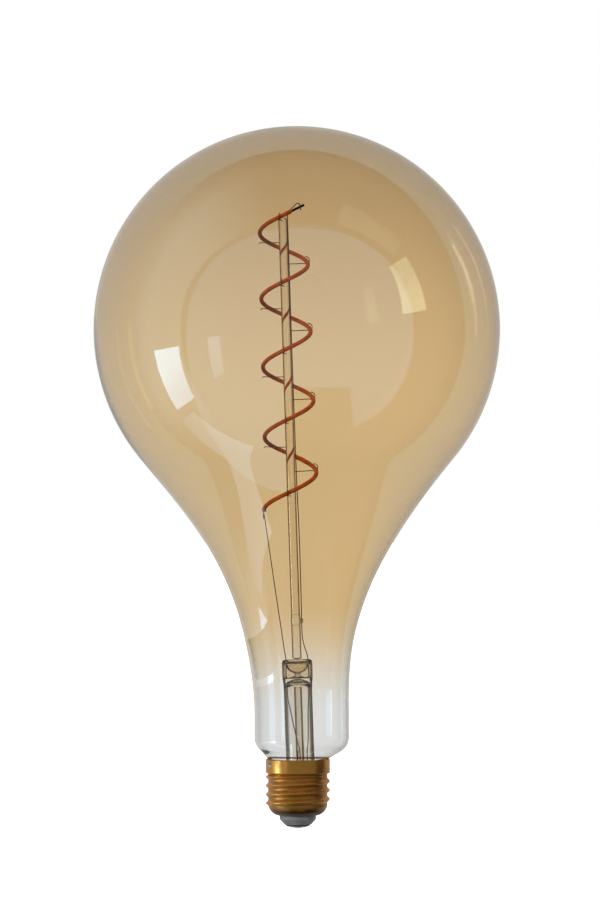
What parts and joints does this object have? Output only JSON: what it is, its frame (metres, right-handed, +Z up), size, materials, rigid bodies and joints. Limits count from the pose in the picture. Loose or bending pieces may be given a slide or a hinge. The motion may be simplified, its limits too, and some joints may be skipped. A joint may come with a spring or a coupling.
{
  "type": "smart light bulb",
  "caption": "Large globe filament lamp with an amber glass envelope drawn into a long clear neck, a helical LED filament on a glass rod and a 27 mm screw cap.",
  "frame": {"origin": "tip of the centre contact, on the axis of the screw cap", "axes": "+Z up along the cap's axis from the contact to the top of the globe; +X to the right and -Y towards a viewer who sees both lead wires of the stem side by side"},
  "size_m": [0.165, 0.165, 0.2849],
  "materials": {
    "amber_glass": "clear blown glass with an amber coating that fades out in the neck",
    "clear_glass": "clear drawn glass",
    "silicone": "translucent orange-brown silicone with phosphor",
    "carrier_strip": "flexible LED carrier strip",
    "nickel_wire": "drawn nickel wire",
    "terminal_metal": "dark oxidised metal tab",
    "cap_brass": "stamped and rolled brass, lightly tarnished",
    "insulator": "off-white moulded insulator",
    "solder": "dull tin solder",
    "cement": "chalky basing cement",
    "circuit_board": "green solder mask",
    "black_plastic": "moulded black epoxy",
    "sleeve": "shrink sleeve over an aluminium can",
    "copper": "copper wire",
    "ferrite": "grey ferrite",
    "shield_metal": "tinned sheet metal",
    "resistor_body": "lacquered resistor body"
  },
  "bodies": {
    "root": {"envelope": "amber_glass", "stem_flare": "clear_glass", "stem_press": "clear_glass", "exhaust_tube": "clear_glass", "rod_stub": "clear_glass", "rod_splice": "clear_glass", "support_rod": "clear_glass", "wire_clip": "clear_glass", "filament_jacket": "silicone", "filament_strip": "carrier_strip", "filament_terminal_top": "terminal_metal", "filament_terminal_bottom": "terminal_metal", "lead_wire_long": "nickel_wire", "lead_wire_short": "nickel_wire", "seal_wire_left": "copper", "seal_wire_right": "copper", "lead_out_left": "nickel_wire", "lead_out_right": "nickel_wire", "hook_01": "nickel_wire", "hook_02": "nickel_wire", "hook_03": "nickel_wire", "hook_04": "nickel_wire", "hook_05": "nickel_wire", "hook_06": "nickel_wire", "hook_07": "nickel_wire", "hook_08": "nickel_wire", "hook_09": "nickel_wire", "hook_10": "nickel_wire", "hook_11": "nickel_wire", "hook_12": "nickel_wire", "hook_13": "nickel_wire", "cap_shell": "cap_brass", "cap_insulator": "insulator", "centre_contact": "cap_brass", "centre_solder": "solder", "basing_cement": "cement", "side_solder": "solder", "neutral_wire": "nickel_wire", "live_wire": "nickel_wire", "fusible_resistor": "resistor_body", "driver_board": "circuit_board", "driver_chip": "black_plastic", "bridge_rectifier": "black_plastic", "smoothing_capacitor": "sleeve", "inductor_core": "ferrite", "inductor_winding": "copper", "wireless_board": "circuit_board", "wireless_shield": "shield_metal", "radio_chip": "black_plastic", "board_pin_1": "cap_brass", "board_pin_2": "cap_brass", "board_pin_3": "cap_brass"}
  },
  "joints": []
}
